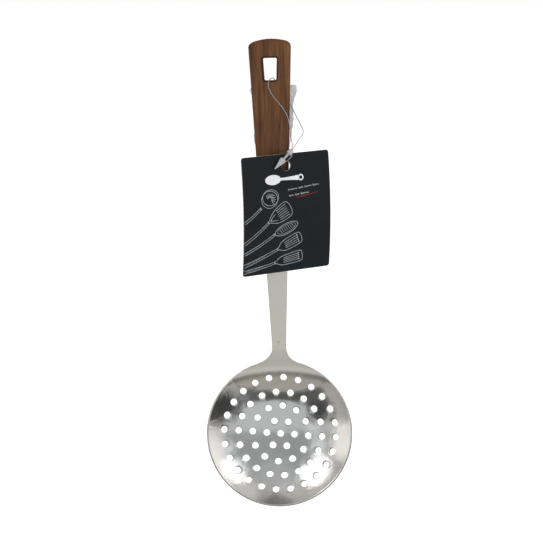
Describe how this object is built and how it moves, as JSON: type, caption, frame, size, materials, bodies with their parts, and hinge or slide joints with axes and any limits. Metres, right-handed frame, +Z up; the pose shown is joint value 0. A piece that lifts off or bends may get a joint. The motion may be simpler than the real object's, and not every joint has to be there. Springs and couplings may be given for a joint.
{
  "type": "kitchen skimmer",
  "caption": "Perforated steel skimmer bowl on a long flat shank, wooden handle with a hanging hole, riveted tang, and a card swing tag on a nylon lock loop.",
  "frame": {"origin": "middle of the hanging hole's top inner edge, on the handle's middle plane, where a hook bears", "axes": "+Z up along the handle, -Y the way the bowl opens, +X to the right when the bowl faces the viewer"},
  "size_m": [0.11, 0.0492, 0.3488],
  "materials": {
    "steel": "satin shank, polished dish",
    "wood": "oiled walnut brown",
    "rivet": "satin",
    "card": "matt printed card",
    "nylon": "translucent nylon",
    "film": "clear crumpled film"
  },
  "bodies": {
    "skimmer": {"bowl_shank": "steel", "handle_grip": "wood", "rivet_upper_post": "rivet", "rivet_upper_cap": "rivet", "rivet_lower_post": "rivet", "rivet_lower_cap": "rivet", "clear_film": "film"},
    "loop": {"tag_string": "nylon", "lock_socket": "nylon", "lock_arrow": "nylon"},
    "tag": {"hang_tag": "card"}
  },
  "joints": [
    {"name": "tag_loop_swing", "type": "hinge", "parent": "skimmer", "child": "loop", "pos_m": [0.0013, 0, -0.0149], "axis": [0, -1, 0], "range_deg": [0, 30]},
    {"name": "tag_turn", "type": "hinge", "parent": "loop", "child": "tag", "pos_m": [0.0103, -0.01, -0.0766], "axis": [0.5426, -0.8355, -0.0872], "range_deg": [-20, 25]}
  ]
}
